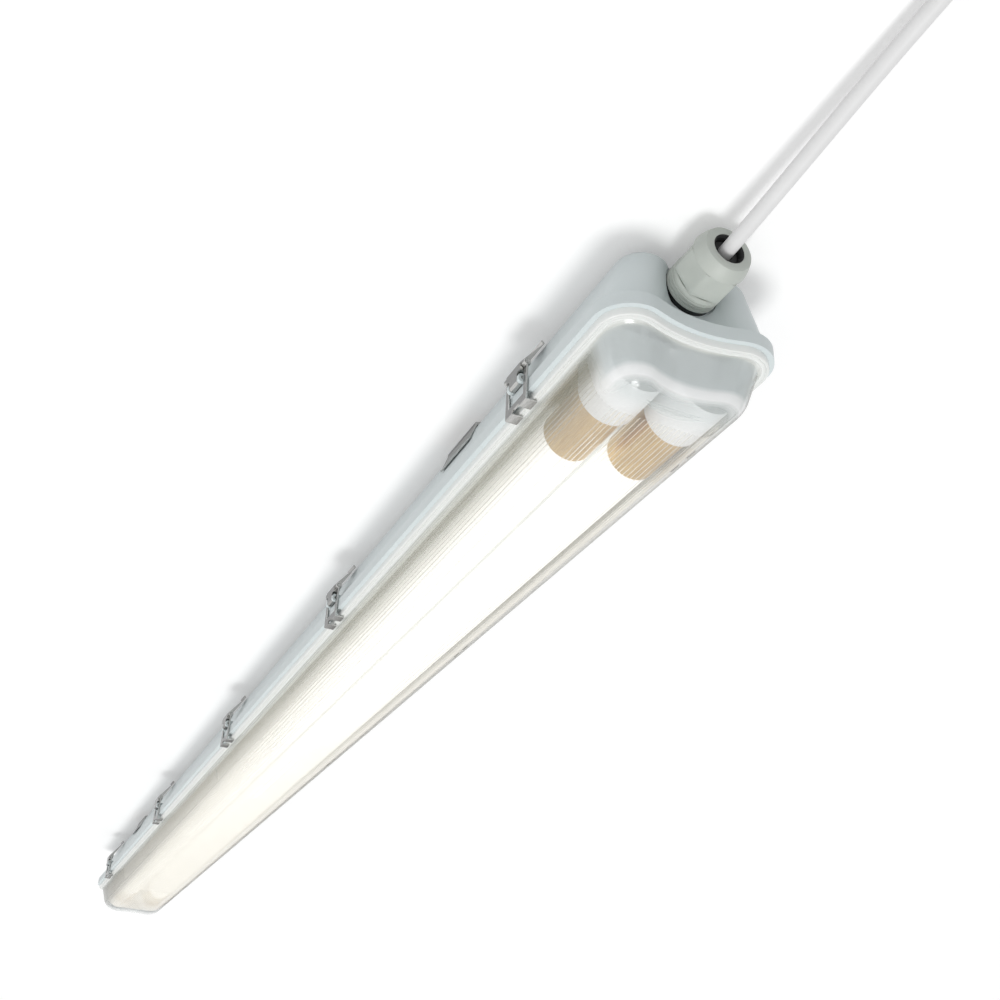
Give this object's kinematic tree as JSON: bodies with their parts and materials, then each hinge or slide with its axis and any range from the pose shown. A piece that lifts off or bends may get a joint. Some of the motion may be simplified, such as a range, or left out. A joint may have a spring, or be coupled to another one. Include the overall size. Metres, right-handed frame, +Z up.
{
  "type": "ceiling batten light",
  "caption": "Long sealed ceiling batten light with a grey tray housing, clear ribbed cover, straight tubes, toggle clips, sprung brackets and a cable gland.",
  "frame": {"origin": "on the ceiling plane, midway between the screw holes of the two brackets", "axes": "+Z up into the ceiling, the clear cover faces -Z, +X along the light towards the end with the cable, +Y across"},
  "size_m": [1.5446, 0.098, 0.0745],
  "materials": {
    "grey_polycarbonate": "fine satin moulded polycarbonate",
    "clear_polycarbonate": "clear polycarbonate with prisms",
    "dark_rubber": "soft seal",
    "white_rubber": "soft grommet",
    "white_sheet_steel": "white powder coat",
    "plated_steel": "zinc plated",
    "stainless_steel": "bright rolled stainless sheet",
    "white_nylon": "moulded nylon",
    "grey_nylon": "moulded nylon, satin",
    "white_pvc": "smooth cable sheath",
    "white_abs": "moulded, satin",
    "opal_glass": "opal white tube",
    "gold_cap": "gold-toned cap",
    "brass_pin": "turned pins"
  },
  "bodies": {
    "light_body": {"bracket_far": "stainless_steel", "bracket_near": "stainless_steel", "ceiling_box_base": "white_abs", "ceiling_box_grommet": "white_rubber", "ceiling_box_lid": "white_abs", "ceiling_box_screws": "plated_steel", "clip_pins": "stainless_steel", "control_gear": "white_sheet_steel", "cover": "clear_polycarbonate", "gasket": "dark_rubber", "gear_tray": "white_sheet_steel", "gland_body": "grey_nylon", "gland_insert": "dark_rubber", "gland_nut": "grey_nylon", "gland_seal": "dark_rubber", "housing": "grey_polycarbonate", "internal_wiring": "white_pvc", "lampholder_far_left": "white_nylon", "lampholder_far_right": "white_nylon", "lampholder_near_left": "white_nylon", "lampholder_near_right": "white_nylon", "supply_cable": "white_pvc", "terminal_block": "white_nylon", "tray_screws": "plated_steel"},
    "tube_left_body": {"tube_left": "opal_glass", "tube_left_cap_near": "gold_cap", "tube_left_cap_far": "gold_cap", "tube_left_pins": "brass_pin", "tube_left_rotors": "white_nylon"},
    "tube_right_body": {"tube_right": "opal_glass", "tube_right_cap_near": "gold_cap", "tube_right_cap_far": "gold_cap", "tube_right_pins": "brass_pin", "tube_right_rotors": "white_nylon"},
    "clip_lever_right_1_body": {"clip_lever_right_1": "stainless_steel"},
    "clip_hook_right_1_body": {"clip_hook_right_1": "stainless_steel"},
    "clip_lever_right_2_body": {"clip_lever_right_2": "stainless_steel"},
    "clip_hook_right_2_body": {"clip_hook_right_2": "stainless_steel"},
    "clip_lever_right_3_body": {"clip_lever_right_3": "stainless_steel"},
    "clip_hook_right_3_body": {"clip_hook_right_3": "stainless_steel"},
    "clip_lever_right_4_body": {"clip_lever_right_4": "stainless_steel"},
    "clip_hook_right_4_body": {"clip_hook_right_4": "stainless_steel"},
    "clip_lever_right_5_body": {"clip_lever_right_5": "stainless_steel"},
    "clip_hook_right_5_body": {"clip_hook_right_5": "stainless_steel"},
    "clip_lever_left_1_body": {"clip_lever_left_1": "stainless_steel"},
    "clip_hook_left_1_body": {"clip_hook_left_1": "stainless_steel"},
    "clip_lever_left_2_body": {"clip_lever_left_2": "stainless_steel"},
    "clip_hook_left_2_body": {"clip_hook_left_2": "stainless_steel"},
    "clip_lever_left_3_body": {"clip_lever_left_3": "stainless_steel"},
    "clip_hook_left_3_body": {"clip_hook_left_3": "stainless_steel"},
    "clip_lever_left_4_body": {"clip_lever_left_4": "stainless_steel"},
    "clip_hook_left_4_body": {"clip_hook_left_4": "stainless_steel"},
    "clip_lever_left_5_body": {"clip_lever_left_5": "stainless_steel"},
    "clip_hook_left_5_body": {"clip_hook_left_5": "stainless_steel"}
  },
  "joints": [
    {"name": "tube_left_turn", "type": "hinge", "parent": "light_body", "child": "tube_left_body", "pos_m": [0, -0.0175, -0.0544], "axis": [1, 0, 0], "range_deg": [0, 90]},
    {"name": "tube_right_turn", "type": "hinge", "parent": "light_body", "child": "tube_right_body", "pos_m": [0, 0.0175, -0.0544], "axis": [1, 0, 0], "range_deg": [0, 90]},
    {"name": "clip_lever_right_1_swing", "type": "hinge", "parent": "light_body", "child": "clip_lever_right_1_body", "pos_m": [-0.5476, 0.04665, -0.0348], "axis": [-1, 0, 0], "range_deg": [0, 120]},
    {"name": "clip_hook_right_1_swing", "type": "hinge", "parent": "clip_lever_right_1_body", "child": "clip_hook_right_1_body", "pos_m": [-0.5476, 0.04665, -0.0278], "axis": [-1, 0, 0], "range_deg": [-120, 0]},
    {"name": "clip_lever_right_2_swing", "type": "hinge", "parent": "light_body", "child": "clip_lever_right_2_body", "pos_m": [-0.2738, 0.04665, -0.0348], "axis": [-1, 0, 0], "range_deg": [0, 120]},
    {"name": "clip_hook_right_2_swing", "type": "hinge", "parent": "clip_lever_right_2_body", "child": "clip_hook_right_2_body", "pos_m": [-0.2738, 0.04665, -0.0278], "axis": [-1, 0, 0], "range_deg": [-120, 0]},
    {"name": "clip_lever_right_3_swing", "type": "hinge", "parent": "light_body", "child": "clip_lever_right_3_body", "pos_m": [0, 0.04665, -0.0348], "axis": [-1, 0, 0], "range_deg": [0, 120]},
    {"name": "clip_hook_right_3_swing", "type": "hinge", "parent": "clip_lever_right_3_body", "child": "clip_hook_right_3_body", "pos_m": [0, 0.04665, -0.0278], "axis": [-1, 0, 0], "range_deg": [-120, 0]},
    {"name": "clip_lever_right_4_swing", "type": "hinge", "parent": "light_body", "child": "clip_lever_right_4_body", "pos_m": [0.2738, 0.04665, -0.0348], "axis": [-1, 0, 0], "range_deg": [0, 120]},
    {"name": "clip_hook_right_4_swing", "type": "hinge", "parent": "clip_lever_right_4_body", "child": "clip_hook_right_4_body", "pos_m": [0.2738, 0.04665, -0.0278], "axis": [-1, 0, 0], "range_deg": [-120, 0]},
    {"name": "clip_lever_right_5_swing", "type": "hinge", "parent": "light_body", "child": "clip_lever_right_5_body", "pos_m": [0.5476, 0.04665, -0.0348], "axis": [-1, 0, 0], "range_deg": [0, 120]},
    {"name": "clip_hook_right_5_swing", "type": "hinge", "parent": "clip_lever_right_5_body", "child": "clip_hook_right_5_body", "pos_m": [0.5476, 0.04665, -0.0278], "axis": [-1, 0, 0], "range_deg": [-120, 0]},
    {"name": "clip_lever_left_1_swing", "type": "hinge", "parent": "light_body", "child": "clip_lever_left_1_body", "pos_m": [-0.5476, -0.04665, -0.0348], "axis": [1, 0, 0], "range_deg": [0, 120]},
    {"name": "clip_hook_left_1_swing", "type": "hinge", "parent": "clip_lever_left_1_body", "child": "clip_hook_left_1_body", "pos_m": [-0.5476, -0.04665, -0.0278], "axis": [1, 0, 0], "range_deg": [-120, 0]},
    {"name": "clip_lever_left_2_swing", "type": "hinge", "parent": "light_body", "child": "clip_lever_left_2_body", "pos_m": [-0.2738, -0.04665, -0.0348], "axis": [1, 0, 0], "range_deg": [0, 120]},
    {"name": "clip_hook_left_2_swing", "type": "hinge", "parent": "clip_lever_left_2_body", "child": "clip_hook_left_2_body", "pos_m": [-0.2738, -0.04665, -0.0278], "axis": [1, 0, 0], "range_deg": [-120, 0]},
    {"name": "clip_lever_left_3_swing", "type": "hinge", "parent": "light_body", "child": "clip_lever_left_3_body", "pos_m": [0, -0.04665, -0.0348], "axis": [1, 0, 0], "range_deg": [0, 120]},
    {"name": "clip_hook_left_3_swing", "type": "hinge", "parent": "clip_lever_left_3_body", "child": "clip_hook_left_3_body", "pos_m": [0, -0.04665, -0.0278], "axis": [1, 0, 0], "range_deg": [-120, 0]},
    {"name": "clip_lever_left_4_swing", "type": "hinge", "parent": "light_body", "child": "clip_lever_left_4_body", "pos_m": [0.2738, -0.04665, -0.0348], "axis": [1, 0, 0], "range_deg": [0, 120]},
    {"name": "clip_hook_left_4_swing", "type": "hinge", "parent": "clip_lever_left_4_body", "child": "clip_hook_left_4_body", "pos_m": [0.2738, -0.04665, -0.0278], "axis": [1, 0, 0], "range_deg": [-120, 0]},
    {"name": "clip_lever_left_5_swing", "type": "hinge", "parent": "light_body", "child": "clip_lever_left_5_body", "pos_m": [0.5476, -0.04665, -0.0348], "axis": [1, 0, 0], "range_deg": [0, 120]},
    {"name": "clip_hook_left_5_swing", "type": "hinge", "parent": "clip_lever_left_5_body", "child": "clip_hook_left_5_body", "pos_m": [0.5476, -0.04665, -0.0278], "axis": [1, 0, 0], "range_deg": [-120, 0]}
  ],
  "couplings": [
    {"joint": "clip_hook_right_1_swing", "follows": "clip_lever_right_1_swing", "ratio": -1},
    {"joint": "clip_hook_right_2_swing", "follows": "clip_lever_right_2_swing", "ratio": -1},
    {"joint": "clip_hook_right_3_swing", "follows": "clip_lever_right_3_swing", "ratio": -1},
    {"joint": "clip_hook_right_4_swing", "follows": "clip_lever_right_4_swing", "ratio": -1},
    {"joint": "clip_hook_right_5_swing", "follows": "clip_lever_right_5_swing", "ratio": -1},
    {"joint": "clip_hook_left_1_swing", "follows": "clip_lever_left_1_swing", "ratio": -1},
    {"joint": "clip_hook_left_2_swing", "follows": "clip_lever_left_2_swing", "ratio": -1},
    {"joint": "clip_hook_left_3_swing", "follows": "clip_lever_left_3_swing", "ratio": -1},
    {"joint": "clip_hook_left_4_swing", "follows": "clip_lever_left_4_swing", "ratio": -1},
    {"joint": "clip_hook_left_5_swing", "follows": "clip_lever_left_5_swing", "ratio": -1}
  ]
}
